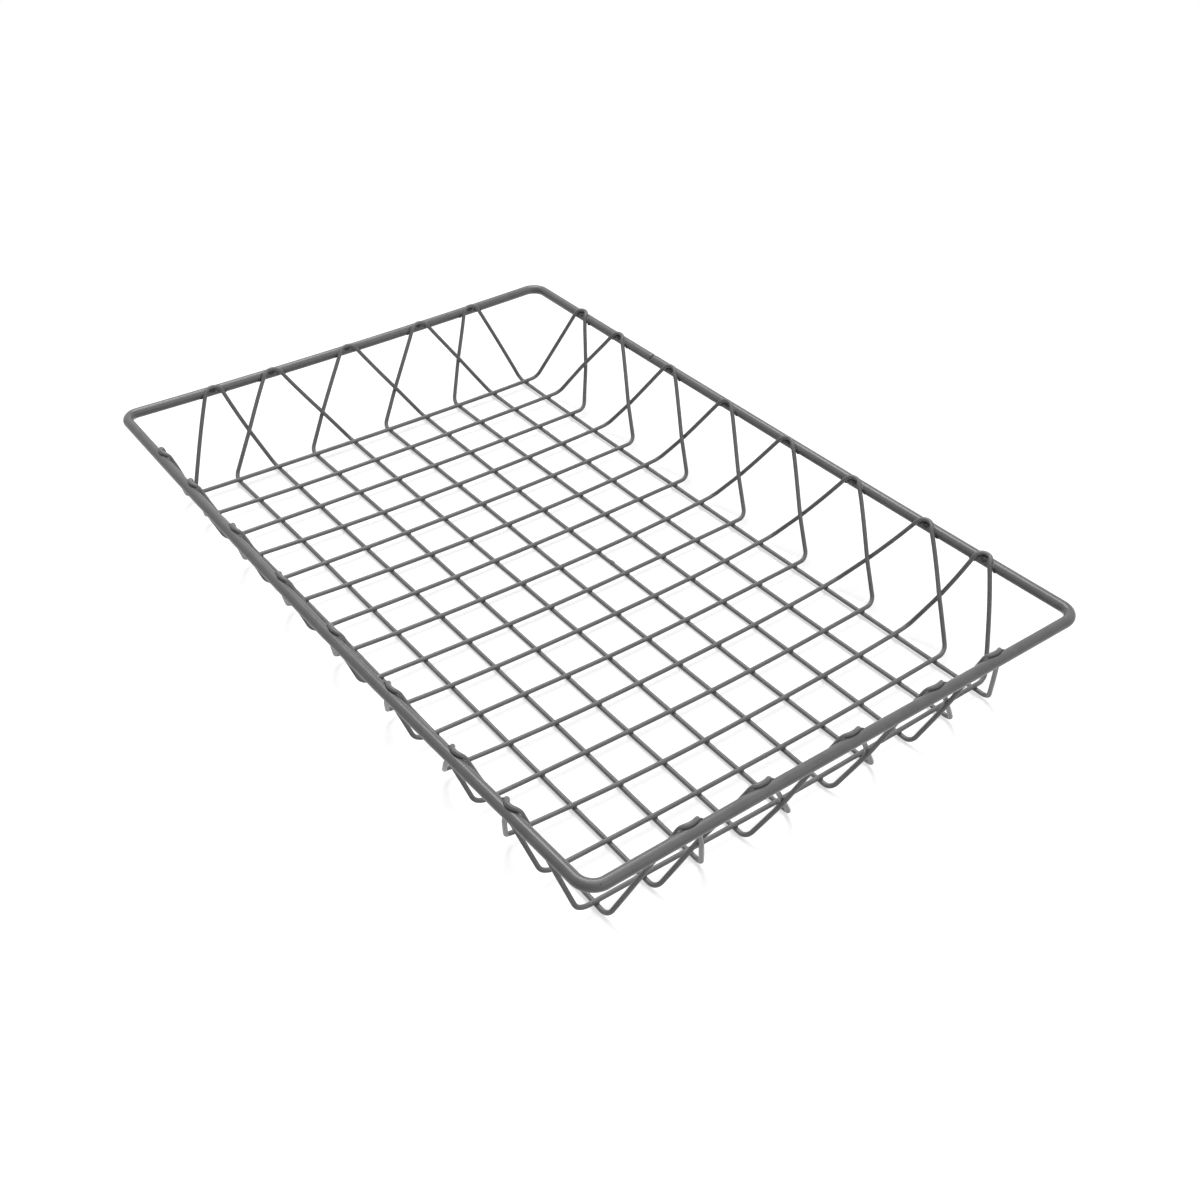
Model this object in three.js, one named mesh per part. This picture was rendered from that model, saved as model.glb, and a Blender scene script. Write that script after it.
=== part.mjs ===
import * as THREE from 'three';

// Wire pastry basket: a heavy closed rim that carries a basket of thin wire.
// X runs along the basket, Y across it and Z up. The origin is on the surface that the
// basket stands on, under its middle. All lengths are in millimetres.

// Driving dimensions of the basket
const rimLength = 457.2; // over the rim's outside, along X
const rimWidth = 298.5; // over the rim's outside, along Y
const basketDepth = 51.5; // from the floor's upper side to the rim's top
const rimWire = 5.8; // diameter of the rim's wire
const meshWire = 2.4; // diameter of the thin wire
const rimCornerRadius = 9; // of the rim's centre line
const wallFlare = 31; // from the rim's outside in to the outermost floor wire
const kneeOverhang = 7.5; // from the outermost floor wire out to where floor and wall meet
const kneeRadius = 6; // of the bend between floor and wall
const hairpinRadius = 5.2; // of the bend that joins two legs at the rim
const hairpinRise = 4.2; // from the weld line over the rim's upper side to the hairpin's top
const weldGap = 0.3; // between wires that touch

// Counts: each loop makes two of the floor's wires
const crosswiseLoopCount = 8;
const lengthwiseLoopCount = 5;
const rimSides = 12;
const meshSides = 8;
const cornerSteps = 6;
const kneeSteps = 4;
const hairpinSteps = 6;

// Heights of the centre lines: the lengthwise wires lie lowest, the crosswise ones on them
const lengthwiseHeight = meshWire / 2;
const crosswiseHeight = lengthwiseHeight + meshWire + weldGap;
const rimHeight = crosswiseHeight + meshWire / 2 + basketDepth - rimWire / 2;

// Distance between the centre lines of a leg and the rim that it leans on
const legToRim = (rimWire + meshWire) / 2 + weldGap;

const rimFinish = new THREE.MeshStandardMaterial({ color: 0x6f6f70, roughness: 0.42, metalness: 0.6 });
const meshFinish = new THREE.MeshStandardMaterial({ color: 0x6a6a6b, roughness: 0.45, metalness: 0.6 });

// One corner of a wire's route. The wire turns there on an arc of this radius, or, with
// no radius, changes direction at the point itself. The two facings say which way the flat
// side of the wire looks before and after the corner.
function corner(point, radius, steps, facingBefore, facingAfter) {
  return { point, radius, steps, facingBefore, facingAfter };
}

// Stations along a closed route of straight runs and arcs: a place, the direction there and the facing.
function stationsAlong(corners) {
  const stations = [];
  corners.forEach((here, index) => {
    const before = corners[(index + corners.length - 1) % corners.length].point;
    const after = corners[(index + 1) % corners.length].point;
    const inward = here.point.clone().sub(before).normalize();
    const outward = after.clone().sub(here.point).normalize();
    const turn = inward.angleTo(outward);
    if (here.radius === 0) {
      const along = inward.clone().add(outward).normalize();
      stations.push({ place: here.point, along, facing: here.facingBefore });
      return;
    }
    const tangentLength = here.radius * Math.tan(turn / 2);
    const arcStart = here.point.clone().addScaledVector(inward, -tangentLength);
    const towardCentre = outward.clone().addScaledVector(inward, -outward.dot(inward)).normalize();
    for (let step = 0; step <= here.steps; step += 1) {
      const share = step / here.steps;
      const angle = turn * share;
      const place = arcStart.clone()
        .addScaledVector(inward, here.radius * Math.sin(angle))
        .addScaledVector(towardCentre, here.radius * (1 - Math.cos(angle)));
      const along = inward.clone().multiplyScalar(Math.cos(angle))
        .addScaledVector(towardCentre, Math.sin(angle));
      const facing = here.facingBefore.clone().lerp(here.facingAfter, share);
      stations.push({ place, along, facing });
    }
  });
  return stations;
}

// A closed wire: a regular polygon carried round the route, with a flat side towards the
// facing. Its width over the flats is the wire's diameter.
function closedWire(stations, diameter, sides) {
  const positions = [];
  const triangles = [];
  const reach = diameter / 2 / Math.cos(Math.PI / sides);
  stations.forEach(({ place, along, facing }, ring) => {
    const normal = facing.clone().addScaledVector(along, -facing.dot(along)).normalize();
    const side = along.clone().cross(normal);
    const nextRing = (ring + 1) % stations.length;
    for (let k = 0; k < sides; k += 1) {
      const angle = (2 * Math.PI * (k + 0.5)) / sides;
      const point = place.clone()
        .addScaledVector(normal, reach * Math.cos(angle))
        .addScaledVector(side, reach * Math.sin(angle));
      positions.push(point.x, point.y, point.z);
      const a = ring * sides + k;
      const b = ring * sides + (k + 1) % sides;
      const c = nextRing * sides + (k + 1) % sides;
      const d = nextRing * sides + k;
      triangles.push(a, b, c, a, c, d);
    }
  });
  const geometry = new THREE.BufferGeometry();
  geometry.setAttribute('position', new THREE.Float32BufferAttribute(positions, 3));
  geometry.setIndex(triangles);
  geometry.computeVertexNormals();
  return geometry;
}

// The rim: a rounded rectangle, level all round.
function rimStations() {
  const halfLength = (rimLength - rimWire) / 2;
  const halfWidth = (rimWidth - rimWire) / 2;
  const up = new THREE.Vector3(0, 0, 1);
  const corners = [[1, 1], [-1, 1], [-1, -1], [1, -1]].map(([signX, signY]) => {
    const point = new THREE.Vector3(signX * halfLength, signY * halfWidth, rimHeight);
    return corner(point, rimCornerRadius, cornerSteps, up, up);
  });
  return stationsAlong(corners);
}

// The floor wires that each loop joins: the first and last loop span two pitches, and the
// others span three, so that neighbouring loops reach past each other.
function wirePairs(loopCount) {
  const pairs = [];
  for (let loop = 0; loop < loopCount; loop += 1) {
    pairs.push([Math.max(2 * loop - 1, 0), Math.min(2 * loop + 2, 2 * loopCount - 1)]);
  }
  return pairs;
}

// One family of loops, laid out in a frame of its own: u runs from wire to wire, v along
// the wires and Z up. It gives, for each loop, the stations of a closed wire.
function loopStations({ loopCount, uOutside, vOutside, floorHeight }) {
  const uLast = uOutside / 2 - wallFlare;
  const pitch = (2 * uLast) / (2 * loopCount - 1);
  const kneeAt = vOutside / 2 - wallFlare + kneeOverhang;

  // The wall's plane rises from the knee line and passes the rim on its inner, upper side.
  const rimAt = vOutside / 2 - rimWire / 2;
  const kneeToRim = Math.hypot(rimAt - kneeAt, rimHeight - floorHeight);
  const slope = Math.atan2(rimHeight - floorHeight, rimAt - kneeAt) + Math.asin(legToRim / kneeToRim);
  const weldLine = Math.sqrt(kneeToRim ** 2 - legToRim ** 2);
  const hairpinCentre = weldLine + hairpinRise - hairpinRadius;

  // In the wall's plane, each leg runs from its knee to a tangent of the hairpin's bend.
  const loops = wirePairs(loopCount).map(([first, last]) => {
    const uFirst = first * pitch - uLast;
    const uSecond = last * pitch - uLast;
    const halfSpan = (uSecond - uFirst) / 2;
    const reach = Math.hypot(halfSpan, hairpinCentre);
    const lean = Math.atan2(halfSpan, hairpinCentre) - Math.asin(hairpinRadius / reach);
    return { uFirst, uSecond, halfSpan, lean };
  });

  // Where the second leg of one loop crosses the first leg of the next, up the wall
  const crossings = loops.slice(1).map((next, index) => {
    const loop = loops[index];
    return (loop.uSecond - next.uFirst) / (Math.tan(loop.lean) + Math.tan(next.lean));
  });

  // Crossing legs bow apart by a wire: the second loop passes inside both its neighbours,
  // and each later loop inside the one after it. Below the rim they are back in the plane.
  const bow = (meshWire + weldGap) / 2;
  const bowEnd = weldLine - rimWire;

  // From the weld line on, the wall follows the rim round: a wire that would run straight on
  // past the rim is laid over the rim's upper side.
  const wires = new THREE.Vector3(1, 0, 0);
  const laidOverRim = ({ place, along, facing }) => {
    const end = Math.sign(place.y);
    const upWall = new THREE.Vector3(0, end * Math.cos(slope), Math.sin(slope));
    const knee = new THREE.Vector3(0, end * kneeAt, floorHeight);
    const past = place.clone().sub(knee).dot(upWall) - weldLine;
    if (past <= 0) {
      return { place, along, facing };
    }
    const angle = (-end * past) / legToRim;
    const rimCentre = new THREE.Vector3(0, end * rimAt, rimHeight);
    const laid = place.clone().addScaledVector(upWall, -past).sub(rimCentre);
    return {
      place: laid.applyAxisAngle(wires, angle).add(rimCentre),
      along: along.clone().applyAxisAngle(wires, angle),
      facing: facing.clone().applyAxisAngle(wires, angle),
    };
  };

  return loops.map((loop, index) => {
    const firstSide = index === 1 ? bow : -bow;
    const secondSide = index === 0 ? -bow : bow;
    const wallCorners = (end) => {
      const up = new THREE.Vector3(0, 0, 1);
      const facing = new THREE.Vector3(0, -end * Math.sin(slope), Math.cos(slope));
      const onWall = (u, rise, offset) => new THREE.Vector3(
        u,
        end * (kneeAt + rise * Math.cos(slope)) + offset * facing.y,
        floorHeight + rise * Math.sin(slope) + offset * facing.z,
      );
      const middle = (loop.uFirst + loop.uSecond) / 2;
      const apex = loop.halfSpan / Math.tan(loop.lean);
      const corners = [corner(onWall(loop.uFirst, 0, 0), kneeRadius, kneeSteps, up, facing)];
      if (index > 0) {
        const rise = crossings[index - 1];
        const u = loop.uFirst + rise * Math.tan(loop.lean);
        corners.push(corner(onWall(u, rise, firstSide), 0, 0, facing, facing));
        const uEnd = loop.uFirst + bowEnd * Math.tan(loop.lean);
        corners.push(corner(onWall(uEnd, bowEnd, 0), 0, 0, facing, facing));
      }
      const inset = loop.halfSpan - weldLine * Math.tan(loop.lean);
      corners.push(corner(onWall(middle - inset, weldLine, 0), 0, 0, facing, facing));
      corners.push(corner(onWall(middle, apex, 0), hairpinRadius, hairpinSteps, facing, facing));
      corners.push(corner(onWall(middle + inset, weldLine, 0), 0, 0, facing, facing));
      if (index < loops.length - 1) {
        const uEnd = loop.uSecond - bowEnd * Math.tan(loop.lean);
        corners.push(corner(onWall(uEnd, bowEnd, 0), 0, 0, facing, facing));
        const rise = crossings[index];
        const u = loop.uSecond - rise * Math.tan(loop.lean);
        corners.push(corner(onWall(u, rise, secondSide), 0, 0, facing, facing));
      }
      corners.push(corner(onWall(loop.uSecond, 0, 0), kneeRadius, kneeSteps, facing, up));
      return corners;
    };
    const farEnd = wallCorners(1);
    const nearEnd = wallCorners(-1).reverse().map((c) => (
      corner(c.point, c.radius, c.steps, c.facingAfter, c.facingBefore)
    ));
    return stationsAlong([...farEnd, ...nearEnd]).map(laidOverRim);
  });
}

function mesh(name, geometry, material) {
  const piece = new THREE.Mesh(geometry, material);
  piece.name = name;
  return piece;
}

const basket = new THREE.Group();

basket.add(mesh('rim_ring', closedWire(rimStations(), rimWire, rimSides), rimFinish));

// The crosswise wires run along Y, so their frame is the basket's own.
const crosswiseLoops = new THREE.Group();
loopStations({
  loopCount: crosswiseLoopCount,
  uOutside: rimLength,
  vOutside: rimWidth,
  floorHeight: crosswiseHeight,
}).forEach((stations, index) => {
  const geometry = closedWire(stations, meshWire, meshSides);
  crosswiseLoops.add(mesh(`crosswise_loop_${index + 1}`, geometry, meshFinish));
});
basket.add(crosswiseLoops);

// The lengthwise wires run along X: their frame is turned a quarter about Z, and the loops
// are counted from the basket's -Y side.
const lengthwiseLoops = new THREE.Group();
lengthwiseLoops.rotation.z = Math.PI / 2;
loopStations({
  loopCount: lengthwiseLoopCount,
  uOutside: rimWidth,
  vOutside: rimLength,
  floorHeight: lengthwiseHeight,
}).forEach((stations, index) => {
  const geometry = closedWire(stations, meshWire, meshSides);
  lengthwiseLoops.add(mesh(`lengthwise_loop_${index + 1}`, geometry, meshFinish));
});
basket.add(lengthwiseLoops);

export default basket;
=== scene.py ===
"""A wire pastry basket: a shallow tray of thin welded wire, carried by one heavy wire rim.

The wires of the floor are the two long sides of closed loops. At each end of the basket a
loop's two sides turn up at a rounded knee, lean towards each other as the legs of a wall,
cross the legs of the neighbouring loops and meet in a hairpin, which is laid over the rim
and welded to it. Lengths are in metres: X runs along the basket, Y across it and Z up.
"""

import math

import bpy
from mathutils import Matrix, Vector


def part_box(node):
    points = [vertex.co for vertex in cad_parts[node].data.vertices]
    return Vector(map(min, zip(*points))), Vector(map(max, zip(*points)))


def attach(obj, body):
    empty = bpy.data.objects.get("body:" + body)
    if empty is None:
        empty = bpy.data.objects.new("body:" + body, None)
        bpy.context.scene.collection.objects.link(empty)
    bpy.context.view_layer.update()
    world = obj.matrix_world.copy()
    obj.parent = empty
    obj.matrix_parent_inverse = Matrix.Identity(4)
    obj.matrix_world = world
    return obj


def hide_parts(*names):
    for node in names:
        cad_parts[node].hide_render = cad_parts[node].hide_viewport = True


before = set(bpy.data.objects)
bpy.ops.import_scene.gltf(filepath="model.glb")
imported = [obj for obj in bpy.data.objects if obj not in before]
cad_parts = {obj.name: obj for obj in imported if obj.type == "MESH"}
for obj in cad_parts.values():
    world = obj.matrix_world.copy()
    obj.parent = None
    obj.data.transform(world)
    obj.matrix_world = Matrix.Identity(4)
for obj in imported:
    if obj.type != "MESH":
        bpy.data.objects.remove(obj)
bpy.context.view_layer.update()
bpy.ops.object.select_all(action="DESELECT")


# Lengthwise loops
# Five closed loops of thin drawn steel wire make the ten lowest wires of the floor. Each is
# bent from one length, butt welded shut, and coated dark grey with the finished basket.
wire_radius = 0.0012
weld_bite = 0.0002
knee_overhang = 0.0075
knee_radius = 0.006
hairpin_radius = 0.0052
hairpin_rise = 0.0042
bow_radius = 0.08
straight_spacing = 0.004
over_rim_spacing = 0.001

rim_low, rim_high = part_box("rim_ring")
rim_radius = (rim_high.z - rim_low.z) / 2
rim_height = (rim_high.z + rim_low.z) / 2
leg_to_rim = rim_radius + wire_radius - weld_bite


def coated_steel(name, colour, roughness):
    """Dark grey satin coat over wire: nearly even in shade and gloss, with a fine grain."""
    material = bpy.data.materials.new(name)
    material.use_nodes = True
    nodes = material.node_tree.nodes
    links = material.node_tree.links
    shader = nodes["Principled BSDF"]
    shader.inputs["Metallic"].default_value = 0
    shader.inputs["Specular IOR Level"].default_value = 0.4
    place = nodes.new("ShaderNodeTexCoord")

    mottle = nodes.new("ShaderNodeTexNoise")
    mottle.inputs["Scale"].default_value = 110
    mottle.inputs["Detail"].default_value = 4
    links.new(place.outputs["Object"], mottle.inputs["Vector"])
    shade = nodes.new("ShaderNodeValToRGB")
    shade.color_ramp.elements[0].position = 0.35
    shade.color_ramp.elements[0].color = [channel * 0.92 for channel in colour] + [1]
    shade.color_ramp.elements[1].position = 0.65
    shade.color_ramp.elements[1].color = [channel * 1.08 for channel in colour] + [1]
    links.new(mottle.outputs["Fac"], shade.inputs["Fac"])
    links.new(shade.outputs["Color"], shader.inputs["Base Color"])

    gloss = nodes.new("ShaderNodeMapRange")
    gloss.inputs["To Min"].default_value = roughness - 0.05
    gloss.inputs["To Max"].default_value = roughness + 0.05
    links.new(mottle.outputs["Fac"], gloss.inputs["Value"])
    links.new(gloss.outputs["Result"], shader.inputs["Roughness"])

    grain = nodes.new("ShaderNodeTexNoise")
    grain.inputs["Scale"].default_value = 1400
    grain.inputs["Detail"].default_value = 2
    links.new(place.outputs["Object"], grain.inputs["Vector"])
    bump = nodes.new("ShaderNodeBump")
    bump.inputs["Strength"].default_value = 0.03
    bump.inputs["Distance"].default_value = 0.0001
    links.new(grain.outputs["Fac"], bump.inputs["Height"])
    links.new(bump.outputs["Normal"], shader.inputs["Normal"])
    return material


wire_coat = coated_steel("wire_coat", (0.176, 0.176, 0.177), 0.38)


def settle(point):
    """Where a point of the wirework really is. The floor hangs lowest in its middle, hand-fed
    wire strays a little from its line, and the rim sags between its corners: most on the -Y
    side, which is also drawn in at its ends. The +X side dips towards -Y and rises towards +Y."""
    up = min(max(point.z / rim_height, 0), 1)
    x, y = point.x / rim_high.x, point.y / rim_high.y
    stray = 0.0003 * (1 - up)
    lift = 0.0015 * (1 - max(0, 1 - 0.95 * x * x) * max(0, 1 - 1.4 * y * y))
    dip = 0.0027 * max(0, -y) * max(0, 1 - x * x) ** 1.6 + 0.001 * max(0, y) * (1 - x * x)
    dip += 0.002 * max(0, -x) * (1 - y * y) + 0.001 * max(0, x) ** 4 * max(0, -y) ** 2
    dip -= 0.0006 * max(0, x) ** 3 * max(0, y) ** 3
    drawn_in = 0.0024 * x * x * max(0, -y) ** 4
    return point + Vector((
        stray * math.sin(point.x * 97 + 1.9 * math.sin(point.y * 17 + 0.6)),
        stray * math.sin(point.y * 103 + 2.3 * math.sin(point.x * 13 + 1.1)) + drawn_in * up,
        lift * (1 - up) - dip * up,
    ))


def rounded(before, corner, after, radius, steps):
    """Points of the arc of this radius that rounds a corner of a route."""
    inward = (corner - before).normalized()
    outward = (after - corner).normalized()
    turn = inward.angle(outward)
    start = corner - inward * radius * math.tan(turn / 2)
    towards = (outward - inward * outward.dot(inward)).normalized()
    arc = []
    for step in range(steps + 1):
        angle = turn * step / steps
        arc.append(start + inward * radius * math.sin(angle) + towards * radius * (1 - math.cos(angle)))
    return arc


def loops_of(name, count, across, floor_height, outermost_other, splay, knees_out, strays, hairpins):
    """The routes of one family of loops, the places of its welds and painted shade, and how its wires stray.

    across is the axis that the wires are spaced along, and outermost_other how far the last
    wire of the other family lies from the middle. splay is how far a loop's sides spread
    towards the knees. The other three say how the handwork differs from the drawing. knees_out:
    how much further out the knees of each end stand, from the first loop over the middle ones
    to the last. strays: how far each floor wire lies aside at its low end, its middle and its
    high end. hairpins: for each end, how far every hairpin strays along the rim, how much
    further it reaches over the rim and how far its tip stands off it.
    A weld is a point, the direction that it lies along and the direction that it faces.
    """
    along = 1 - across
    rim_reach = rim_high[along] - rim_radius
    knee_reach = outermost_other + knee_overhang
    run = rim_reach - knee_reach
    rise = rim_height - floor_height
    slope = math.atan2(rise, run) + math.asin(leg_to_rim / math.hypot(run, rise))
    weld_line = math.sqrt(run ** 2 + rise ** 2 - leg_to_rim ** 2)
    hairpin_centre = weld_line + hairpin_rise - hairpin_radius
    bow_end = weld_line - 2 * rim_radius
    bow = wire_radius - weld_bite / 2

    def on_wall(end, u, climb, offset=0.0):
        point = Vector((0, 0, floor_height + climb * math.sin(slope) + offset * math.cos(slope)))
        point[across] = u
        point[along] = end * (knee_reach + climb * math.cos(slope) - offset * math.sin(slope))
        return point

    def between(values, share):
        """A smooth course through the values at shares of -1, 0 and 1."""
        low, middle, high = values
        return middle + (high - low) / 2 * share + ((high + low) / 2 - middle) * share ** 2

    def drift(place, reach):
        """How far the wire at this place has strayed and spread, at this distance along it."""
        aside = between(strays[places.index(place)], min(max(reach / outermost_other, -1.05), 1.05))
        side = -1 if any(place == first for first, second, half, lean in spans) else 1
        return aside + side * splay * min(abs(reach) / knee_reach, 1) ** 4

    def bent(point, number):
        """Where a point of a loop lies once its wires have strayed and its hairpins are bent."""
        first, second, half, lean = spans[number]
        end = math.copysign(1, point[along])
        stray, reach, lift = hairpins[end][number]
        out = end * point[along]
        climb = (out - knee_reach) * math.cos(slope) + (point.z - floor_height) * math.sin(slope)
        climbed = min(max(climb / weld_line, 0), 1)
        beyond = min(max((out - outermost_other) / knee_overhang, 0), 1)
        wire = first if point[across] < (first + second) / 2 else second
        laid = point.copy()
        laid[across] += drift(wire, point[along]) * (1 - climbed) + stray * climbed ** 3
        further = between(knees_out[end], point[across] / rim_high[across])
        laid[along] += end * further * beyond * (1 - climbed)
        past = climb - weld_line
        if past <= 0:
            return laid
        share = past / hairpin_rise
        angle = slope - (past + reach * share) / leg_to_rim
        offset = out - knee_reach - climb * math.cos(slope)
        radius = leg_to_rim + lift * share ** 2 - offset / math.sin(slope)
        laid[along] = end * (rim_reach - radius * math.sin(angle))
        laid.z = rim_height + radius * math.cos(angle)
        return laid

    def meeting(end, k):
        """The point where a leg of one loop crosses a leg of the next one."""
        low, high = 0, weld_line
        for halving in range(20):
            climb = (low + high) / 2
            leg = bent(on_wall(end, spans[k][1] - climb * math.tan(spans[k][3]), climb), k)
            next_leg = on_wall(end, spans[k + 1][0] + climb * math.tan(spans[k + 1][3]), climb)
            if bent(next_leg, k + 1)[across] < leg[across]:
                low = climb
            else:
                high = climb
        return leg

    spans = []
    for number in range(1, count + 1):
        low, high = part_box(f"{name}_{number}")
        first = low[across] + wire_radius
        second = high[across] - wire_radius
        half = (second - first) / 2
        reach = math.hypot(half, hairpin_centre)
        lean = math.atan2(half, hairpin_centre) - math.asin(hairpin_radius / reach)
        spans.append((first, second, half, lean))
    places = sorted(place for first, second, half, lean in spans for place in (first, second))
    crossings = [
        (spans[k][1] - spans[k + 1][0]) / (math.tan(spans[k][3]) + math.tan(spans[k + 1][3]))
        for k in range(count - 1)
    ]

    routes, leg_welds, rim_welds, fillets, shade_spots, hollows = [], [], [], [], [], []
    for k, (first, second, half, lean) in enumerate(spans):
        middle = (first + second) / 2
        first_bow = bow if k == 1 else -bow
        second_bow = -bow if k == 0 else bow
        corners = []
        for end in (1, -1):
            side = [(on_wall(end, first, 0), knee_radius, 8)]
            if k > 0:
                climb = crossings[k - 1]
                side.append((on_wall(end, first + climb * math.tan(lean), climb, first_bow), bow_radius, 4))
                side.append((on_wall(end, first + bow_end * math.tan(lean), bow_end), bow_radius, 2))
            side.append((on_wall(end, middle, half / math.tan(lean)), hairpin_radius, 16))
            if k < count - 1:
                climb = crossings[k]
                side.append((on_wall(end, second - bow_end * math.tan(lean), bow_end), bow_radius, 2))
                crossing = on_wall(end, second - climb * math.tan(lean), climb, second_bow)
                side.append((crossing, bow_radius, 4))
            side.append((on_wall(end, second, 0), knee_radius, 8))
            corners += side if end == 1 else side[::-1]

            facing = on_wall(end, 0, 0, 1) - on_wall(end, 0, 0)
            if k < count - 1:
                leg_welds.append((meeting(end, k), on_wall(end, 0, 1) - on_wall(end, 0, 0), facing))
            for hand in (-1, 1):
                foot = on_wall(end, middle + hand * half, 0)
                top = on_wall(end, middle + hand * (half - weld_line * math.tan(lean)), weld_line)
                way = (top - foot).normalized()
                contact = bent(top, k) - facing * wire_radius
                rim_welds.append((contact, way, facing))
                beside = Vector((0, 0, 0))
                beside[across] = hand
                # A fillet beside the leg; its pale coat is a painted highlight.
                fillets.append((contact + beside * 0.0013 + way * 0.0006, way, facing))
                # Painted shade: a dark spot in the pocket between the leg and the rim, below the weld.
                shade_spots.append((contact + beside * 0.0017 - way * 0.0021 - facing * 0.0009, beside, facing))
            # Painted shade: a dark patch on the rim inside the hairpin, below its tip.
            inside = bent(on_wall(end, middle, weld_line + 0.35 * hairpin_rise), k)
            rim_middle = Vector((0, 0, rim_height))
            rim_middle[across] = inside[across]
            rim_middle[along] = end * rim_reach
            outward = (inside - rim_middle).normalized()
            hollows.append((rim_middle + outward * rim_radius, beside, outward))

        route = []
        for index, (corner, radius, steps) in enumerate(corners):
            before = corners[index - 1][0]
            after = corners[(index + 1) % len(corners)][0]
            arc = rounded(before, corner, after, radius, steps)
            route += straight(route[-1], arc[0]) if route else []
            route += arc
        route += straight(route[-1], route[0])
        routes.append([settle(bent(point, k)) for point in route])
    settled = [
        [(settle(place), way, facing) for place, way, facing in welds]
        for welds in (leg_welds, rim_welds, fillets, shade_spots, hollows)
    ]
    return routes, settled, drift


def straight(start, finish):
    """Points between two bends, close together where the wire is laid over the rim."""
    high_up = max(start.z, finish.z) > 0.8 * rim_height
    spacing = over_rim_spacing if high_up else straight_spacing
    pieces = math.ceil((finish - start).length / spacing)
    return [start.lerp(finish, step / pieces) for step in range(1, pieces)]


def wire_along(name, route, radius, sides, material):
    """A closed wire: a ring of points laid along its route and given the wire's thickness."""
    bpy.ops.mesh.primitive_circle_add(vertices=len(route))
    wire = bpy.context.object
    wire.name = name
    for vertex, point in zip(wire.data.vertices, route):
        vertex.co = point
    bpy.ops.object.convert(target="CURVE")
    wire = bpy.context.object
    wire.data.bevel_depth = radius
    wire.data.bevel_resolution = sides
    bpy.ops.object.convert(target="MESH")
    wire = bpy.context.object
    bpy.ops.object.shade_smooth()
    wire.data.materials.clear()
    wire.data.materials.append(material)
    wire.select_set(False)
    return wire


def wire_places(name, count, across):
    """Where the wires of one family lie across the floor, from the boxes of its loops."""
    places = []
    for number in range(1, count + 1):
        low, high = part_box(f"{name}_{number}")
        places += [low[across] + wire_radius, high[across] - wire_radius]
    return sorted(places)


def shares(count):
    """From -1 for the first of so many to 1 for the last, evenly."""
    return [2 * number / (count - 1) - 1 for number in range(count)]


lengthwise_places = wire_places("lengthwise_loop", 5, 1)
crosswise_places = wire_places("crosswise_loop", 8, 0)
most_stray = 0.0024
strays = [
    (-0.5 * most_stray * share, -0.75 * most_stray * share, -most_stray * (1 - share * share))
    for share in shares(10)
]
hairpins = {
    1: [(-0.5 * most_stray * (1 + share), -0.001, 0) for share in shares(5)],
    -1: [(0.5 * most_stray * (0.6 - share), -0.0012, 0) for share in shares(5)],
}
knees_out = {1: (0, 0, 0), -1: (0, 0, 0)}
routes, lengthwise_welds, lengthwise_drift = loops_of(
    "lengthwise_loop", 5, 1, wire_radius, crosswise_places[-1], 0.0003, knees_out, strays, hairpins
)
for number, route in enumerate(routes, start=1):
    wire = wire_along(f"lengthwise_wire_{number}", route, wire_radius, 4, wire_coat)
    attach(wire, "root")
    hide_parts(f"lengthwise_loop_{number}")


# Crosswise loops
# Eight loops of the same wire lie on the lengthwise ones and make the sixteen upper wires
# of the floor. They are bent in the same way, and their hairpins reach the long sides.
upper_floor_height = 3 * wire_radius - weld_bite
strays = [
    (-0.6 * most_stray, 0.6 * most_stray * (1 - share ** 4), -0.3 * most_stray * (1 + 2 * share))
    for share in shares(16)
]
hairpins = {
    1: [
        (-0.5 * most_stray * (1 + share), 0.0018 * share * share - 0.001, 0.0001)
        for share in shares(8)
    ],
    -1: [(-most_stray * (1 - share * share), 0.001 * (share * share - 1), 0) for share in shares(8)],
}
knees_out = {1: (0, 0, 0), -1: (-0.0024, 0.0016, 0.0022)}
routes, crosswise_welds, crosswise_drift = loops_of(
    "crosswise_loop", 8, 0, upper_floor_height, lengthwise_places[-1], 0.0009, knees_out, strays, hairpins
)
leg_welds, rim_welds, fillets, shade_spots, hollows = (
    first + second for first, second in zip(lengthwise_welds, crosswise_welds)
)
for number, route in enumerate(routes, start=1):
    wire = wire_along(f"crosswise_wire_{number}", route, wire_radius, 4, wire_coat)
    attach(wire, "root")
    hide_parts(f"crosswise_loop_{number}")


# Spot welds between the thin wires
# Where two thin wires cross, electrodes have pressed them into each other, and a little
# steel has squeezed out around the joint: 160 of these on the floor and 22 on the walls.
# Two of the loops show the slight swelling where their ends were butt welded.
def weld_beads(name, places, half_size, material):
    """One bead of squeezed-out steel, copied to every weld and joined to one piece."""
    bpy.ops.mesh.primitive_uv_sphere_add(segments=8, ring_count=6, radius=1)
    pattern = bpy.context.object
    bpy.ops.transform.resize(value=half_size)
    bpy.ops.object.transform_apply(location=False, rotation=False, scale=True)
    copies = []
    for number, (place, way, facing) in enumerate(places):
        copy = pattern.copy()
        copy.data = pattern.data.copy()
        bpy.context.scene.collection.objects.link(copy)
        side = facing.cross(way).normalized()
        turned = Matrix((way.normalized(), side, facing.normalized())).transposed()
        swell = 1 + 0.12 * math.sin(number * 2.4)
        copy.data.transform(Matrix.Translation(place) @ (turned * swell).to_4x4())
        copies.append(copy)
    bpy.data.objects.remove(pattern)
    bpy.ops.object.select_all(action="DESELECT")
    for copy in copies:
        copy.select_set(True)
    bpy.context.view_layer.objects.active = copies[0]
    bpy.ops.object.join()
    beads = bpy.context.object
    beads.name = name
    bpy.ops.object.shade_smooth()
    beads.data.materials.clear()
    beads.data.materials.append(material)
    beads.select_set(False)
    return beads


# Painted shade: the beads' dark coat stands in for the shadow pocket at each crossing and weld.
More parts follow.
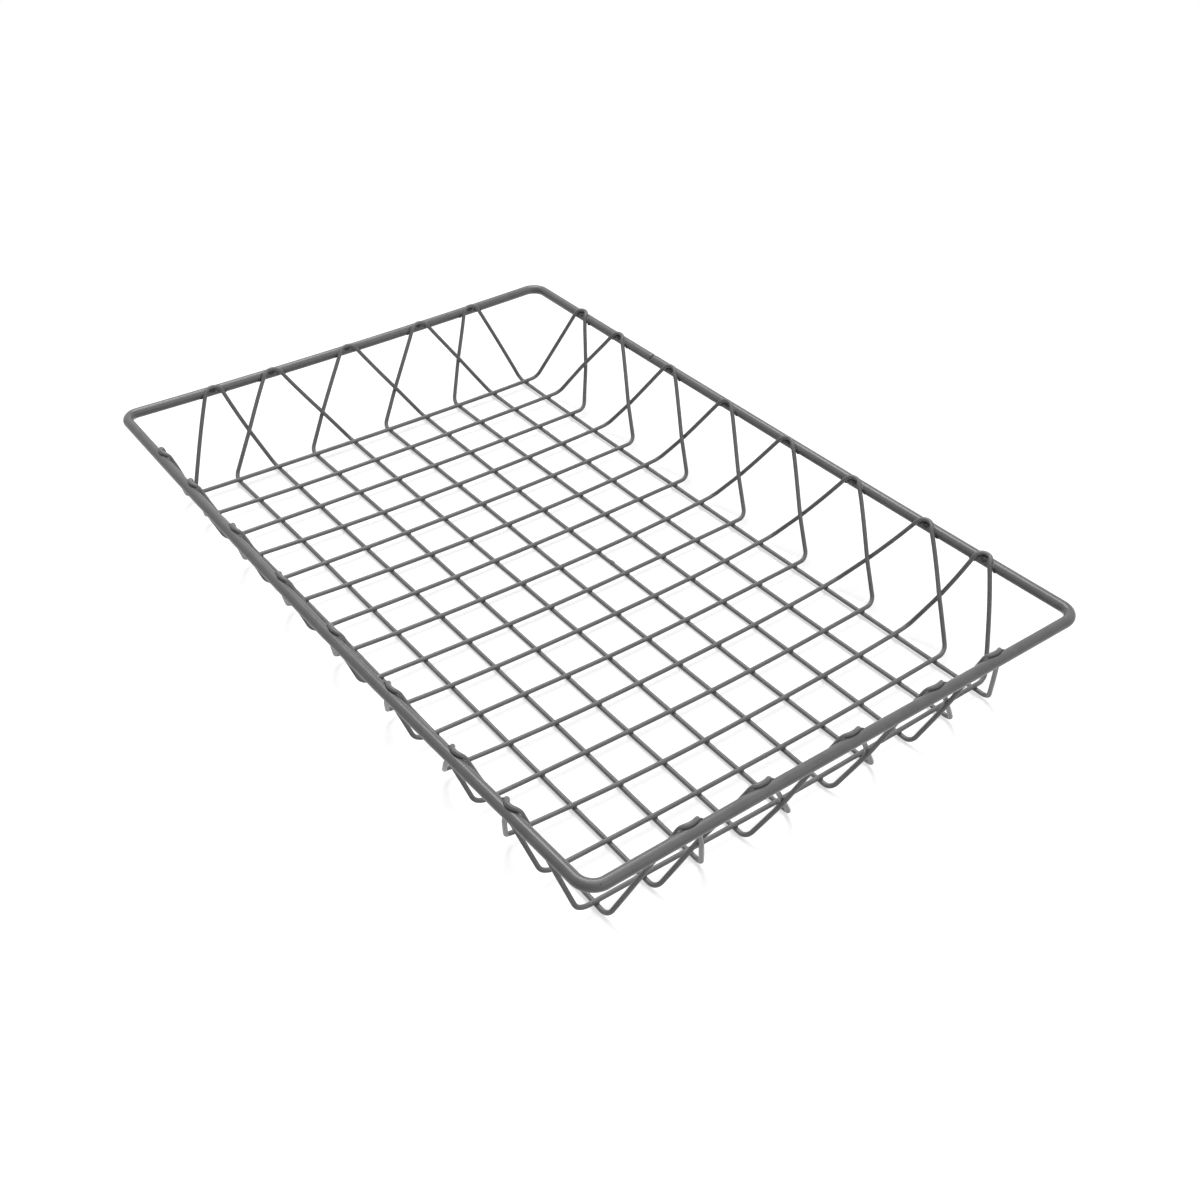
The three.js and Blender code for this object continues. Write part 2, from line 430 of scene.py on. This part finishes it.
weld_painted_shade_coat = coated_steel("weld_painted_shade_coat", (0.1, 0.1, 0.101), 0.42)
upward = Vector((0, 0, 1))
floor_welds = []
for x in crosswise_places:
    for y in lengthwise_places:
        place = Vector((x + crosswise_drift(x, y), y + lengthwise_drift(y, x), 2 * wire_radius))
        floor_welds.append((settle(place), Vector((1, 1, 0)), upward))
spot_weld_size = (0.0015, 0.0015, 0.0007)
beads = weld_beads("floor_welds", floor_welds, spot_weld_size, weld_painted_shade_coat)
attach(beads, "root")
beads = weld_beads("leg_welds", leg_welds, spot_weld_size, weld_painted_shade_coat)
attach(beads, "root")
x, y = crosswise_places[14], lengthwise_places[6]
closings = [
    (Vector((x + crosswise_drift(x, 0), 0, upper_floor_height)), Vector((0, 1, 0)), upward),
    (Vector((0, y + lengthwise_drift(y, 0), wire_radius + 0.0003)), Vector((1, 0, 0)), upward),
]
closings = [(settle(place), way, facing) for place, way, facing in closings]
beads = weld_beads("loop_closings", closings, (0.0026, 0.00135, 0.00135), wire_coat)
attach(beads, "root")


# Rim
# One heavy steel wire, bent to a rounded rectangle and butt welded to a closed ring, with
# the weld ground flat on the +Y side. It lies outside the legs of the hairpins.
rim_corner_radius = 0.009
butt_weld_reach = 0.004
groove_depth = 0.0004
groove_width = 0.0009
chip_turn = 1.22
butt_weld = Vector((-0.1, rim_high.y - rim_radius, rim_height))
rim_coat = coated_steel("rim_coat", (0.155, 0.155, 0.156), 0.3)
reach_x = rim_high.x - rim_radius
reach_y = rim_high.y - rim_radius
corners = [
    Vector((sign_x * reach_x, sign_y * reach_y, rim_height))
    for sign_x, sign_y in ((1, 1), (-1, 1), (-1, -1), (1, -1))
]
route = []
for index, corner in enumerate(corners):
    arc = rounded(corners[index - 1], corner, corners[(index + 1) % 4], rim_corner_radius, 20)
    if route:
        start = route[-1]
        pieces = math.ceil((arc[0] - start).length / straight_spacing)
        route += [start.lerp(arc[0], step / pieces) for step in range(1, pieces)]
    route += arc
start = route[-1]
pieces = math.ceil((route[0] - start).length / straight_spacing)
route += [start.lerp(route[0], step / pieces) for step in range(1, pieces)]
near_weld = [butt_weld + Vector((step / 10 * butt_weld_reach, 0, 0)) for step in range(10, -11, -1)]
route = [point for point in route if (point - butt_weld).length > 0.0045]
after = next(
    index for index, point in enumerate(route)
    if abs(point.y - butt_weld.y) < 0.0001 and point.x < butt_weld.x
)
route[after:after] = near_weld
rim = wire_along("rim_wire", [settle(point) for point in route], rim_radius, 8, rim_coat)
for vertex in rim.data.vertices:
    centre = settle(Vector((vertex.co.x, butt_weld.y, rim_height)))
    from_weld = vertex.co.x - butt_weld.x
    if abs(from_weld) > butt_weld_reach or vertex.co.y < 0:
        continue
    outward = vertex.co - centre
    facing_up = max(0, outward.normalized().z)
    groove = -groove_depth * facing_up * math.exp(-(from_weld / groove_width) ** 2)
    vertex.co += outward.normalized() * groove
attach(rim, "root")
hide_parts("rim_ring")

# This very dark coat serves a chip in the coat, the butt weld's seam and the painted shade at the rim welds.
dark_mark_and_shade_coat = coated_steel("dark_mark_and_shade_coat", (0.03, 0.03, 0.03), 0.5)
bend = Vector((reach_x - rim_corner_radius, rim_corner_radius - reach_y, rim_height))
out = Vector((math.sin(chip_turn), -math.cos(chip_turn), 0))
facing = (out * 0.66 + Vector((0, 0, 0.75))).normalized()
chip = settle(bend + out * rim_corner_radius) + facing * (rim_radius - 0.0003)
along_rim = Vector((-out.y, out.x, 0))
bead = weld_beads("rim_chip", [(chip, along_rim, facing)], (0.0006, 0.0003, 0.0004), dark_mark_and_shade_coat)
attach(bead, "root")
facing = Vector((0, -0.5, 0.86))
seam = settle(butt_weld) + facing * (rim_radius - 0.0004)
seam_place = (seam, Vector((1, 0, 0)), facing)
bead = weld_beads("rim_seam", [seam_place], (0.0009, 0.0021, 0.0005), dark_mark_and_shade_coat)
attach(bead, "root")


# Welds at the rim
# Both legs of each hairpin are welded to the rim's inner side where they pass it, and the steel
# has run out beside the leg as a small lump with a smooth fillet. The fillet's pale coat is a
# painted highlight. Dark spots on the rim below each weld and inside each hairpin are painted
# shade, and the lumps' dark coat is painted shade as well.
beads = weld_beads("rim_welds", rim_welds, (0.0024, 0.002, 0.0009), weld_painted_shade_coat)
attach(beads, "root")
# Painted highlight: the fillets' pale coat stands in for the glint on them.
fillet_highlight_coat = coated_steel("fillet_highlight_coat", (0.3, 0.3, 0.3), 0.2)
beads = weld_beads("rim_fillets", fillets, (0.0017, 0.0006, 0.0007), fillet_highlight_coat)
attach(beads, "root")
# Painted shade: a dark spot below each weld, in the pocket between the leg and the rim.
beads = weld_beads("rim_painted_shade", shade_spots, (0.0013, 0.001, 0.0008), dark_mark_and_shade_coat)
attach(beads, "root")
# Painted shade: a dark patch on the rim inside each hairpin.
beads = weld_beads("hairpin_painted_shade", hollows, (0.0018, 0.0011, 0.0004), dark_mark_and_shade_coat)
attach(beads, "root")


# Camera
# It stands off the near right corner and looks down into the basket.
camera_data = bpy.data.cameras.new("camera")
camera = bpy.data.objects.new("camera", camera_data)
bpy.context.scene.collection.objects.link(camera)
camera_data.lens = 44.889
camera_data.sensor_width = 36
sight = Vector((-0.638802, 0.480462, -0.600906))
right = Vector((0.599463, 0.800398, 0.002701))
upwards = right.cross(sight)
turned = Matrix((right, upwards, -sight)).transposed()
camera.matrix_world = Matrix.Translation((0.54204, -0.37699, 0.48885)) @ turned.to_4x4()
bpy.context.scene.camera = camera


# Stage
# A plain floor and surroundings that look white, with soft light from a broad lamp overhead,
# one above and beyond the basket's -X end and a weaker one beyond its +X end.
def seen_directly(nodes, links):
    """1 for what is looked at, straight or in a reflection, and 0 for light that falls on things."""
    rays = nodes.new("ShaderNodeLightPath")
    either = nodes.new("ShaderNodeMath")
    either.operation = "MAXIMUM"
    links.new(rays.outputs["Is Camera Ray"], either.inputs[0])
    links.new(rays.outputs["Is Glossy Ray"], either.inputs[1])
    any_of_three = nodes.new("ShaderNodeMath")
    any_of_three.operation = "MAXIMUM"
    links.new(either.outputs[0], any_of_three.inputs[0])
    links.new(rays.outputs["Is Transmission Ray"], any_of_three.inputs[1])
    return any_of_three.outputs[0]


world = bpy.data.worlds.new("surroundings")
world.use_nodes = True
bpy.context.scene.world = world
nodes = world.node_tree.nodes
links = world.node_tree.links
ambient = nodes["Background"]
ambient.inputs["Color"].default_value = (1, 1, 1, 1)
ambient.inputs["Strength"].default_value = 0.02
seen = nodes.new("ShaderNodeBackground")
seen.inputs["Color"].default_value = (1, 1, 1, 1)
seen.inputs["Strength"].default_value = 1
mix = nodes.new("ShaderNodeMixShader")
links.new(seen_directly(nodes, links), mix.inputs["Fac"])
links.new(ambient.outputs[0], mix.inputs[1])
links.new(seen.outputs[0], mix.inputs[2])
links.new(mix.outputs[0], nodes["World Output"].inputs["Surface"])

bpy.ops.mesh.primitive_plane_add(size=2.4, location=(0, 0, -0.0001))
floor = bpy.context.object
floor.name = "floor"
paper = bpy.data.materials.new("white_paper")
paper.use_nodes = True
nodes = paper.node_tree.nodes
links = paper.node_tree.links
shader = nodes["Principled BSDF"]
shader.inputs["Base Color"].default_value = (0.72, 0.72, 0.72, 1)
shader.inputs["Roughness"].default_value = 0.9
shader.inputs["Specular IOR Level"].default_value = 0
shader.inputs["Emission Color"].default_value = (1, 1, 1, 1)
amount = nodes.new("ShaderNodeMath")
amount.operation = "MULTIPLY"
amount.inputs[1].default_value = 0.6
links.new(seen_directly(nodes, links), amount.inputs[0])
links.new(amount.outputs[0], shader.inputs["Emission Strength"])
floor.data.materials.append(paper)

for name, place, size, power in (
    ("key_lamp", (-1.04, 0.49, 1.77), 0.8, 20),
    ("overhead_lamp", (0, 0.1, 2.2), 1.6, 22),
    ("fill_lamp", (1.8, 0.3, 1.1), 2, 11),
):
    lamp_data = bpy.data.lights.new(name, "AREA")
    lamp_data.shape = "SQUARE"
    lamp_data.size = size
    lamp_data.energy = power
    lamp = bpy.data.objects.new(name, lamp_data)
    lamp.location = place
    lamp.rotation_euler = (-Vector(place)).to_track_quat("-Z", "Y").to_euler()
    bpy.context.scene.collection.objects.link(lamp)

bpy.context.scene.view_settings.view_transform = "Standard"
